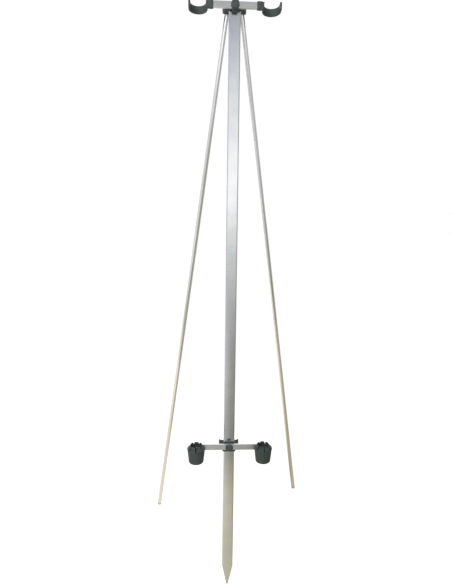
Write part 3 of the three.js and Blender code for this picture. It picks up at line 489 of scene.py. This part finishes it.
def bar_rings(half):
    """The bar's skin in its own axes, with Z along the bar: a rounded rectangle whose long sides
    dip by a rounded groove at each groove line, carried out along the bar and back inside it.
    At each end the outside comes in towards the middle line by the end's inset."""
    steps = {"corner_steps": 6, "side_steps": 60}
    outer = rounded_section(BAR_HEIGHT, BAR_THICKNESS, BAR_CORNER, **steps)[0]
    bore_height, bore_thickness = BAR_HEIGHT - 2 * BAR_WALL, BAR_THICKNESS - 2 * BAR_WALL
    bore = rounded_section(bore_height, bore_thickness, BAR_BORE_CORNER, **steps)[0]
    off = np.abs(np.abs(outer[:, 0]) - GROOVE_OFFSET) / GROOVE_HALF
    dip = GROOVE_DEPTH * np.sqrt(np.clip(1 - off**4, 0, 1))
    on_face = np.abs(outer[:, 1]) > BAR_THICKNESS / 2 - FACE_TOLERANCE
    outer[:, 1] -= np.sign(outer[:, 1]) * np.where(on_face, dip, 0)
    eased = outer * (1 - BAR_END_INSET / np.hypot(*outer.T))[:, None]
    along = [-half, BAR_END_LENGTH - half, half - BAR_END_LENGTH, half, half, -half]
    return stack(np.stack([eased, outer, outer, eased, bore, bore]), along)


def bar_piece(name, half, point, body, node):
    """A bar across the leg at a point of it: its own Z runs to the left, and its X runs up."""
    axes = np.array([UP, BACK, -RIGHT])
    piece = build_skin(name, bar_rings(half), axes, point + BAR_MIDDLE * BACK, loop=True, sharp=28)
    dress(piece, bar_aluminium, body, "satin_aluminium", node)


bar_aluminium = drawn_aluminium("bar_aluminium", BAR_COLOUR, BAR_TINT, smooth=0.28, rough=0.40)
bar_piece("upper_bar_profile", UPPER_BAR_HALF, HEAD_POINT, "upper_bar", "upper_crossbar")


# The rod rests. Each is a nylon moulding: a socket over the end of the bar, and a U-shaped bow,
# open to the front, in which the rod leans. Its outer horn is longer, and a screw holds it.

# From the leg's middle line to the middle of a rest or a cup
HOLDER_REACH = 86.5
BOW_RADIUS = 18
BOW_WALL = 4.5
BOW_HEIGHT = 17
BOW_CENTRE = -7.5
BOW_CORNER = 0.9
BOW_STEPS = 48
BOW_LIP = 0.5
BOW_LIP_HEIGHT = 2.2
INNER_HORN = 11.5
OUTER_HORN = 14.5
HORN_STEPS = 6
HORN_TIP_STEPS = 8
HORN_TIP_DROP = 2.5
SOCKET_START = 51.1
SOCKET_END = 66.3
SOCKET_HEIGHT = 18.1
SOCKET_THICKNESS = 8.1
SOCKET_CORNER = 1.6
SOCKET_LEAD = 0.5
SOCKET_STEPS = 14
# The share of the socket's length from which its height falls, what a full quarter of the
# ellipse would take off it, and the share of the quarter that is followed, squared
SOCKET_EASE = 0.55
SOCKET_DROP = 5
SOCKET_ROUND = 0.96


def horn_path(length):
    """How far ahead of the bow's centre the rings of a horn are, from its tip back, and the size
    of each as a share of the full section: sqrt(1 - (1 - t)^2) over the tip's half wall."""
    tip_length = BOW_WALL / 2
    tip = np.linspace(0, 1, HORN_TIP_STEPS + 1)[1:]
    straight = np.linspace(length - tip_length, 0, HORN_STEPS + 1)[1:-1]
    scale = np.concatenate([np.sqrt(1 - (1 - tip) ** 2), np.ones(len(straight))])
    return np.concatenate([length - tip_length * tip, straight]), scale


def bow_rings(side):
    """The bow: a section of wall and height, carried along a U in plan. The path is a straight
    horn, a half circle and a second horn. The section thins to its rounded end over the last
    part of each horn, and the inner face has a low lip along its top and bottom edges."""
    radius = BOW_RADIUS + BOW_WALL / 2
    turn = np.linspace(0, math.pi, BOW_STEPS + 1)
    outer_y, outer_scale = horn_path(OUTER_HORN)
    inner_y, inner_scale = horn_path(INNER_HORN)
    outer_ones, inner_ones = np.ones(len(outer_y)), np.ones(len(inner_y))
    across_x = np.concatenate([outer_ones, np.cos(turn), -inner_ones])
    across_y = np.concatenate([0 * outer_ones, np.sin(turn), 0 * inner_ones])
    path_y = np.concatenate([-outer_y, radius * np.sin(turn), -inner_y[::-1]])
    scale = np.concatenate([outer_scale, np.ones(len(turn)), inner_scale[::-1]])
    section = rounded_section(BOW_WALL, BOW_HEIGHT, BOW_CORNER, corner_steps=6, side_steps=16)[0]
    inside = section[:, 0] < -BOW_WALL / 2 + FACE_TOLERANCE
    above_lip = (np.abs(section[:, 1]) - BOW_HEIGHT / 2 + BOW_LIP_HEIGHT) / BOW_LIP
    section[:, 0] += np.where(inside, BOW_LIP - BOW_LIP * np.clip(above_lip, 0, 1), 0)
    half_height = BOW_HEIGHT / 2 - (1 - scale) * HORN_TIP_DROP
    across = section[:, 0] * scale[:, None]
    rings = [
        side * (HOLDER_REACH + radius * across_x[:, None] + across * across_x[:, None]),
        BOW_CENTRE + path_y[:, None] + across * across_y[:, None],
        section[:, 1] * (half_height / (BOW_HEIGHT / 2))[:, None],
    ]
    return np.stack(rings, axis=-1)


def socket_rings(side):
    """The socket: a rounded block along the bar, a little smaller at its mouth. Near the bow its
    height falls as the quarter of an ellipse does, up to just before the ellipse's end."""
    share = np.linspace(0, 1, SOCKET_STEPS + 1)
    ease = np.clip((share - SOCKET_EASE) / (1 - SOCKET_EASE), 0, 1)
    height = SOCKET_HEIGHT - SOCKET_DROP * (1 - np.sqrt(1 - SOCKET_ROUND * ease**2))
    lead = SOCKET_LEAD * np.clip(1 - share * SOCKET_STEPS, 0, 1)
    sections = rounded_section(SOCKET_THICKNESS - 2 * lead, height - 2 * lead, SOCKET_CORNER)
    reach = side * (SOCKET_START + (SOCKET_END - SOCKET_START) * share)
    reach = np.broadcast_to(reach[:, None], sections.shape[:2])
    return np.stack([reach, sections[..., 0] + BAR_MIDDLE, sections[..., 1]], -1)


for side, sign in (("left", -1), ("right", 1)):
    bow = build_skin(f"{side}_rest_bow", bow_rings(sign), LEG_AXES, HEAD_POINT)
    dress(bow, nylon, "upper_bar", "dark_plastic", f"rod_rest_{side}")
    socket = build_skin(f"{side}_rest_socket", socket_rings(sign), LEG_AXES, HEAD_POINT)
    dress(socket, nylon, "upper_bar", "dark_plastic")
    finished_copy(f"{side}_rest_screw", f"rest_screw_{side}", SCREW_EDGE, zinc, "upper_bar", "zinc_steel")


# The clamping knobs. A lobed nylon knob is moulded on the head of each stud. It clamps the upper
# bar to the head over a nylon plate, and the lower bar to the collar over a zinc-plated washer.

KNOB_RADIUS = 9.7
KNOB_LOBE = 0.4
KNOB_LOBES = 7
LOBE_STEPS = 20
KNOB_BACK = -20.8
KNOB_THICKNESS = 5.6
KNOB_RIM = 2.4
KNOB_EDGE = 0.6
KNOB_EDGE_STEPS = 6
BACK_RADIUS = 7.3
FACE_RADIUS = 3.5
FACE_STEPS = 13
# How far outside FACE_RADIUS the lobes reach their full size
LOBE_FADE = 5.2
# Radius of the hub in the face, and depth below the face
HUB_PROFILE = [(3, 0.05), (2.6, 0.4), (1, 0.45)]
WASHER_EDGE = 0.2
# The point of the leg's middle line that is level with the lower bar
COLLAR_POINT = np.array(joints["lower_bar_tilt"]["pos_m"]) * 1000 - BAR_MIDDLE * BACK


def knob_rings():
    """The knob: seven shallow lobes round its rim, radius - lobe * cos(7 a), which fade out over
    the domed face, a quarter of an ellipse from the rim to a small dished hub at the front."""
    angle = np.linspace(0, 2 * math.pi, KNOB_LOBES * LOBE_STEPS, endpoint=False)
    edge_bend = np.linspace(-math.pi / 2, 0, KNOB_EDGE_STEPS + 1)
    dome_bend = np.linspace(0, math.pi / 2, FACE_STEPS + 1)
    back_edge = arc_points((KNOB_RADIUS - KNOB_EDGE, KNOB_EDGE), KNOB_EDGE, edge_bend)
    dome_size = (KNOB_RADIUS - FACE_RADIUS, KNOB_THICKNESS - KNOB_RIM)
    dome = arc_points((FACE_RADIUS, KNOB_RIM), dome_size, dome_bend)
    hub = [(radius, KNOB_THICKNESS - depth) for radius, depth in HUB_PROFILE]
    profile = np.concatenate([[[BACK_RADIUS, 0]], back_edge, dome, hub])
    fade = np.clip((profile[:, 0] - FACE_RADIUS) / LOBE_FADE, 0, 1)
    radius = profile[:, :1] - KNOB_LOBE * fade[:, None] * np.cos(KNOB_LOBES * angle)
    depth = np.broadcast_to(KNOB_BACK - profile[:, 1:], radius.shape)
    return np.stack([radius * np.sin(angle), depth, -radius * np.cos(angle)], -1)


for level, point, washer, slot in (
    ("upper", HEAD_POINT, nylon, "dark_plastic"),
    ("lower", COLLAR_POINT, zinc, "zinc_steel"),
):
    knob = build_skin(f"{level}_knob_grip", knob_rings(), LEG_AXES, point)
    dress(knob, nylon, f"{level}_knob", "dark_plastic", f"{level}_knob")
    finished_copy(f"{level}_stud_rod", f"{level}_stud", SCREW_EDGE, zinc, f"{level}_knob", "zinc_steel")
    node = f"{level}_washer"
    finished_copy(f"{level}_washer_disc", node, WASHER_EDGE, washer, f"{level}_washer", slot)


# The slider collar. It is a nylon sleeve on the main leg with a boss for the lower stud, a
# cradle on each back corner for a folded rear leg, and a square nut behind the stud.

COLLAR_EDGE = 0.45
finished_copy("collar_moulding", "slider_collar", COLLAR_EDGE, nylon, "collar", "dark_plastic")
finished_copy("collar_square_nut", "collar_nut", SCREW_EDGE, zinc, "collar", "zinc_steel")


# The lower bar. It is cut from the same grooved profile as the upper one, but longer, and its
# sawn ends stay open. It turns on the collar's stud, and carries a cup at each end.

LOWER_BAR_HALF = 97
bar_piece("lower_bar_profile", LOWER_BAR_HALF, COLLAR_POINT, "lower_bar", "lower_crossbar")


# The butt cups. Each is a tapered nylon cup with a thin lip and a crown of seven springy
# fingers, which grip the rod's butt. A screw and a nut through its pad hold it to the bar.

# The cup's axis and its lip, behind and above the point beside the leg that is level with the bar
CUP_AXIS_DEPTH = -41.9
CUP_RISE = 10.2
CUP_DEPTH = 37
CUP_WALL = 2
BASE_RADIUS = 19.3
BASE_ROUND = 4
BASE_STEPS = 7
NECK_RADIUS = 22.6
NECK_DROP = 3
# Points along the cone, the slope and the crown's wall, on each face of the cup's wall
CONE_POINTS = {"outside": 10, "inside": 9}
SLOPE_POINTS = {"outside": 7, "inside": 6}
CROWN_POINTS = {"outside": 6, "inside": 8}
LIP_RADIUS = 23.2
# How far each point of the lip lies outside LIP_RADIUS, and its height
LIP_PROFILE = [(-0.55, -2.4), (-0.2, -1.4), (0, -1.0), (0, -0.3), (-0.2, 0.1)]
SLOPE_START = 1.2
CROWN_RADIUS = 16
CROWN_SHOULDER = 5.6
CROWN_RISE = 9.6
# Points of the crown's foot, outside CROWN_RADIUS and above CROWN_SHOULDER, and the same inside
CROWN_FOOT = [(0.6, -0.4), (0.15, 0), (0, 0.5), (0, 1)]
CROWN_INNER_FOOT = [(0, -1), (0.4, -1.5)]
# Points of the wall's eased top, how far each lies within the wall and under CROWN_RISE
CROWN_TOP = [(0, 0.5), (0.15, 0.15), (0.5, 0)]
FINGERS = 7
FIRST_SLIT = -92
SLIT_HALF = 1.3
SLIT_FLOOR = -3
# How far a slit's sides lean, in plan
SLIT_LEAN = 0.01
FINGER_ROUND = 3
FINGER_STEPS = 8
# How far beyond its rounding a finger's last step in millimetres is
FINGER_MARGIN = 1
PAD_WIDTH = 13
PAD_HEIGHT = 12
PAD_CORNER = 1.6
# Depth of each of the pad's rings, and how far it is inset
PAD_PROFILE = [(-21.8, 0), (-20.2, 0), (-19.6, 0), (-19.4, 0.1), (-19.3, 0.35)]


def cup_outside():
    """The cup's outside upwards: a rounded base, a cone to the neck, the lip, a slope to the
    crown's foot and the crown's upright wall with its eased top."""
    bend = np.linspace(-math.pi / 2, 0, BASE_STEPS + 1)
    cone_start, cone_end = [BASE_RADIUS, BASE_ROUND - CUP_DEPTH], [NECK_RADIUS, -NECK_DROP]
    foot = [(CROWN_RADIUS + out, CROWN_SHOULDER + up) for out, up in CROWN_FOOT]
    top = [(CROWN_RADIUS - within, CROWN_RISE - under) for within, under in CROWN_TOP]
    return np.concatenate(
        [
            arc_points((BASE_RADIUS - BASE_ROUND, BASE_ROUND - CUP_DEPTH), BASE_ROUND, bend),
            np.linspace(cone_start, cone_end, CONE_POINTS["outside"])[1:],
            [(LIP_RADIUS + out, up) for out, up in LIP_PROFILE],
            np.linspace([NECK_RADIUS, SLOPE_START], foot[0], SLOPE_POINTS["outside"]),
            foot[1:3],
            np.linspace(foot[3], top[0], CROWN_POINTS["outside"]),
            top[1:],
        ]
    )


def cup_inside():
    """The cup's inside downwards, one wall from the outside, to the edge of its flat floor."""
    bend = np.linspace(0, -math.pi / 2, BASE_STEPS + 1)
    base, neck, crown = BASE_RADIUS - CUP_WALL, NECK_RADIUS - CUP_WALL, CROWN_RADIUS - CUP_WALL
    base_round = BASE_ROUND - CUP_WALL / 2
    arc_height = CUP_WALL - CUP_DEPTH + base_round
    foot = [(crown + out, CROWN_SHOULDER + up) for out, up in CROWN_INNER_FOOT]
    top = [(crown + within, CROWN_RISE - under) for within, under in CROWN_TOP]
    return np.concatenate(
        [
            top[:0:-1],
            np.linspace(top[0], foot[0], CROWN_POINTS["inside"]),
            np.linspace(foot[1], [neck, 0], SLOPE_POINTS["inside"]),
            np.linspace([neck, -NECK_DROP], [base, arc_height], CONE_POINTS["inside"]),
            arc_points((base - base_round, arc_height), base_round, bend)[1:],
        ]
    )


def cup_rings(side):
    """The cup: a profile of its wall, up outside and down inside, carried round Z. Above the
    crown's top line, which falls in a quarter circle to the slit on each side of a finger, the
    points of the profile are brought down to that line on their own face of the wall."""
    pitch = 2 * math.pi / FINGERS
    half_pitch = CROWN_RADIUS * pitch / 2
    round_end = SLIT_HALF + FINGER_ROUND
    last = round_end + FINGER_MARGIN
    bend = np.linspace(0, math.pi / 2, FINGER_STEPS + 1)
    rounding = SLIT_HALF + FINGER_ROUND * (1 - np.cos(bend))
    steps = np.concatenate([[0, SLIT_HALF - SLIT_LEAN, SLIT_HALF + SLIT_LEAN], rounding[1:], [last]])
    steps = np.concatenate([-steps[:0:-1], steps, [half_pitch]])
    off = np.tile(steps, FINGERS)
    corner = np.clip(round_end - np.abs(off), 0, FINGER_ROUND)
    top = CROWN_RISE - FINGER_ROUND + np.sqrt(FINGER_ROUND**2 - corner**2)
    top = np.where(np.abs(off) < SLIT_HALF, SLIT_FLOOR, top)
    # The right cup's crown mirrors the left one's
    first = math.radians(FIRST_SLIT if side < 0 else -180 - FIRST_SLIT)
    middle = first + np.repeat(np.arange(FINGERS) * pitch, len(steps))
    walls = []
    for wall in (cup_outside(), cup_inside()):
        rising = wall if wall[0, 1] < wall[-1, 1] else wall[::-1]
        top_radius = np.interp(top, rising[:, 1], rising[:, 0])
        height = np.minimum(wall[:, 1:], top)
        radius = np.where(wall[:, 1:] > top, top_radius, wall[:, :1])
        # Steps are millimetres near a slit, and shares of the rest of the pitch beyond the last
        rest = pitch / 2 - last / radius
        beyond = (np.abs(off) - last) / (half_pitch - last)
        turn = np.where(beyond > 0, pitch / 2 - rest * (1 - beyond), np.abs(off) / radius)
        angle = middle + np.sign(off) * turn
        walls.append(np.stack([radius * np.cos(angle), radius * np.sin(angle), height], -1))
    return np.concatenate(walls)


def pad_rings():
    """The pad between the cup and the bar: a rounded block whose front lies in the cup's wall."""
    depth, inset = np.array(PAD_PROFILE).T
    sections = rounded_section(PAD_WIDTH - 2 * inset, PAD_HEIGHT - 2 * inset, PAD_CORNER)
    depth = np.broadcast_to(depth[:, None], sections.shape[:2])
    return np.stack([sections[..., 0], depth, sections[..., 1]], -1)


for side, sign in (("left", -1), ("right", 1)):
    holder = COLLAR_POINT + sign * HOLDER_REACH * RIGHT
    axis_point = holder + CUP_AXIS_DEPTH * BACK + CUP_RISE * UP
    cup = build_skin(f"{side}_cup_shell", cup_rings(sign), LEG_AXES, axis_point, sharp=40)
    dress(cup, nylon, "lower_bar", "dark_plastic", f"butt_cup_{side}")
    pad = build_skin(f"{side}_cup_pad", pad_rings(), LEG_AXES, holder)
    dress(pad, nylon, "lower_bar", "dark_plastic")
    finished_copy(f"{side}_cup_bolt", f"cup_screw_{side}", SCREW_EDGE, zinc, "lower_bar", "zinc_steel")
    finished_copy(f"{side}_cup_hexnut", f"cup_nut_{side}", SCREW_EDGE, zinc, "lower_bar", "zinc_steel")


# The studio. It has a white floor, and walls that the camera sees as white. Metal mirrors a bright
# band above the camera and a floor that darkens away from the feet. A key lamp and a soft box
# light the whole tripod, and two small spots lift the left cup and its crown.

FLOOR_HALF = 12
FLOOR_COLOUR = (0.80, 0.78, 0.74, 1)
FLOOR_ROUGHNESS = 0.9
# What the floor glows by, for the camera alone, to be white around the shadow
FLOOR_GLOW = 0.8
# Tones of the floor as metal mirrors it, by the distance behind the object's middle
FLOOR_TONES = [
    (-10, 0.68, 0.68, 0.66),
    (-5, 0.68, 0.68, 0.65),
    (-2.6, 0.66, 0.66, 0.62),
    (-1.8, 0.48, 0.49, 0.46),
    (-1.15, 0.44, 0.44, 0.40),
    (-0.95, 0.76, 0.73, 0.60),
    (-0.65, 0.84, 0.80, 0.66),
    (-0.4, 0.75, 0.71, 0.58),
    (-0.1, 0.70, 0.67, 0.57),
    (0.1, 0.78, 0.75, 0.65),
    (0.5, 0.95, 0.92, 0.84),
]
# What they are multiplied by, by the distance to the right of the middle
ACROSS_TONES = [
    (-0.6, 1.3, 1.32, 1.45),
    (-0.1, 1.2, 1.21, 1.3),
    (0, 1, 1, 1),
    (0.08, 0.84, 0.81, 0.76),
    (0.13, 0.58, 0.56, 0.52),
    (0.18, 0.54, 0.52, 0.48),
    (0.22, 0.74, 0.72, 0.68),
    (0.6, 0.58, 0.55, 0.51),
]
# Tones of the wall in front of the object, by the height in degrees above the horizon
FRONT_TONES = [
    (-5, 0.50, 0.51, 0.50),
    (-1, 0.58, 0.58, 0.57),
    (1, 0.66, 0.66, 0.65),
    (4, 0.78, 0.78, 0.77),
    (8, 0.96, 0.96, 0.94),
    (11, 1.10, 1.10, 1.07),
    (13, 1.85, 1.85, 1.80),
    (18, 1.56, 1.56, 1.54),
    (22, 1.26, 1.25, 1.24),
    (27, 1.25, 1.23, 1.20),
    (31, 0.74, 0.83, 0.96),
    (36, 0.40, 0.41, 0.42),
    (50, 0.42, 0.42, 0.42),
]
LEFT_TONE = (0.78, 0.78, 0.79, 1)
RIGHT_TONE = (0.52, 0.52, 0.51, 1)
BACK_TONE = (1.5, 1.52, 1.52, 1)
TONE_LIMIT = 2
# How much of the walls' light reaches matt surfaces
MATT_SHARE = 0.25
SPOT_SOFTNESS = 0.6
LEFT_CUP = (-0.087, -0.16, 0.44)
LEFT_CROWN = (-0.097, -0.152, 0.436)


def toned(nodes, value, tones):
    """A colour ramp over a value, from the first tone's place to the last one's. Tones are kept
    as shares of TONE_LIMIT, and the ramp is scaled up by it again, so that they can be brighter
    than white."""
    low, high = tones[0][0], tones[-1][0]
    ramp = nodes.add("ShaderNodeValToRGB", {"Fac": nodes.spread(value, 0, 1, low, high)})
    stops = ramp.color_ramp.elements
    for index, (at, *colour) in enumerate(tones):
        stop = stops[index] if index < 2 else stops.new(1)
        stop.position = (at - low) / (high - low)
        stop.color = [part / TONE_LIMIT for part in colour] + [1]
    return nodes.scaled(ramp.outputs["Color"], TONE_LIMIT)


def floor_paint(name):
    """Matt paint with a glow for the camera alone, which brings it up to white but keeps the
    object's shadow. Metal mirrors the floor's tones in its place."""
    paint = Finish(name, metallic=0)
    paint.shader.inputs["Base Color"].default_value = FLOOR_COLOUR
    paint.shader.inputs["Roughness"].default_value = FLOOR_ROUGHNESS
    point = paint.add("ShaderNodeTexCoord").outputs["Object"]
    parts = paint.add("ShaderNodeSeparateXYZ", {0: point}).outputs
    tone = paint.product(toned(paint, parts["Y"], FLOOR_TONES), toned(paint, parts["X"], ACROSS_TONES))
    mirrored = paint.add("ShaderNodeEmission", {"Color": tone, "Strength": 1}).outputs[0]
    ray = paint.add("ShaderNodeLightPath").outputs
    values = {0: ray["Is Glossy Ray"], 1: paint.shader.outputs[0], 2: mirrored}
    surface = paint.add("ShaderNodeMixShader", values).outputs[0]
    seen = paint.number("MAXIMUM", ray["Is Camera Ray"], ray["Is Transmission Ray"])
    strength = paint.number("MULTIPLY", seen, FLOOR_GLOW)
    glow = paint.add("ShaderNodeEmission", {"Strength": strength}).outputs[0]
    whole = paint.add("ShaderNodeAddShader", {0: surface, 1: glow}).outputs[0]
    paint.links.new(whole, paint.nodes["Material Output"].inputs["Surface"])
    return paint.material


def grey_walls(name):
    """A world whose tone depends on the direction: the front tones by height in a sector ahead,
    the back tone behind, and a blend from the left tone to the right one between them. The
    camera sees white, and matt surfaces get a share of the light."""
    world = bpy.data.worlds.new(name)
    walls = Nodes(world)
    toward = walls.add("ShaderNodeTexCoord").outputs["Generated"]
    parts = walls.add("ShaderNodeSeparateXYZ", {0: toward}).outputs
    level = walls.product(toward, (1, 1, 0))
    level = walls.add("ShaderNodeVectorMath", {0: level}, operation="NORMALIZE").outputs[0]
    values = {0: level, 1: (0, -1, 0)}
    facing = walls.add("ShaderNodeVectorMath", values, operation="DOT_PRODUCT").outputs["Value"]
    by_sine = [(math.sin(math.radians(height)), *colour) for height, *colour in FRONT_TONES]
    rightness = walls.spread(parts["X"], 0, 1, start=-0.5, stop=0.5)
    ahead = walls.spread(facing, 0, 1, start=0.80, stop=0.97)
    behind = walls.spread(facing, 1, 0, start=-0.9, stop=-0.4)
    tone = walls.blend(rightness, LEFT_TONE, RIGHT_TONE)
    tone = walls.blend(ahead, tone, toned(walls, parts["Z"], by_sine))
    tone = walls.blend(behind, tone, BACK_TONE)
    ray = walls.add("ShaderNodeLightPath").outputs
    tone = walls.scaled(tone, walls.spread(ray["Is Glossy Ray"], MATT_SHARE, 1, start=0, stop=1))
    seen = walls.number("MAXIMUM", ray["Is Camera Ray"], ray["Is Transmission Ray"])
    colour = walls.blend(seen, tone, (1, 1, 1, 1))
    walls.links.new(colour, walls.nodes["Background"].inputs["Color"])
    return world


def lamp(name, place, target, size, watts, cone=None):
    """A square lamp at a place, turned to a target, or a spot with a cone in degrees. Polished
    metal mirrors the walls alone, so the lamp is left out of mirrored rays."""
    light = bpy.data.lights.new(name, "SPOT" if cone else "AREA")
    light.energy = watts
    if cone:
        light.shadow_soft_size = size
        light.spot_size = math.radians(cone)
        light.spot_blend = SPOT_SOFTNESS
    else:
        light.size = size
    holder = put_in_scene(name, light)
    direction = Vector(target) - Vector(place)
    holder.rotation_euler = direction.to_track_quat("-Z", "Y").to_euler()
    holder.location = place
    holder.visible_glossy = False


floor_mesh = bpy.data.meshes.new("floor")
corners = [(x * FLOOR_HALF, y * FLOOR_HALF, 0) for x, y in ((-1, -1), (1, -1), (1, 1), (-1, 1))]
floor_mesh.from_pydata(corners, [], [(0, 1, 2, 3)])
floor_mesh.materials.append(floor_paint("floor_paint"))
put_in_scene("floor", floor_mesh)
bpy.context.scene.world = grey_walls("grey_walls")
lamp("key", (-1.1, -1.5, 2.3), (0, 0, 0.9), size=0.6, watts=20)
lamp("camera_box", (-0.1, -1.3, 1.13), (-0.1, -0.3, 1.6), size=0.25, watts=10)
lamp("left_cup_spot", (-0.25, -0.75, 1.0), LEFT_CUP, size=0.12, watts=8, cone=11)
lamp("left_crown_spot", (-0.22, -0.55, 0.95), LEFT_CROWN, size=0.15, watts=20, cone=7)


# The camera. It stands in front of the tripod at chest height and looks down at it. Its place,
# turn and lens were fitted to the photograph by perspective.

# From the head's point to the camera, in millimetres
CAMERA_FROM_HEAD = np.array([-71.6, -1136.3, -373.3])
CAMERA_YAW = -2.56
CAMERA_PITCH = -15.83
FOCAL_PIXELS = 420
PHOTO_LONG_SIDE = 584
SENSOR_WIDTH = 36

camera_data = bpy.data.cameras.new("camera")
camera_data.sensor_width = SENSOR_WIDTH
camera_data.lens = FOCAL_PIXELS / PHOTO_LONG_SIDE * SENSOR_WIDTH
camera = put_in_scene("camera", camera_data)
camera.location = (HEAD_POINT + CAMERA_FROM_HEAD) / 1000
camera.rotation_euler = (math.radians(90 + CAMERA_PITCH), 0, math.radians(CAMERA_YAW))
bpy.context.scene.camera = camera
bpy.context.scene.view_settings.view_transform = "Standard"
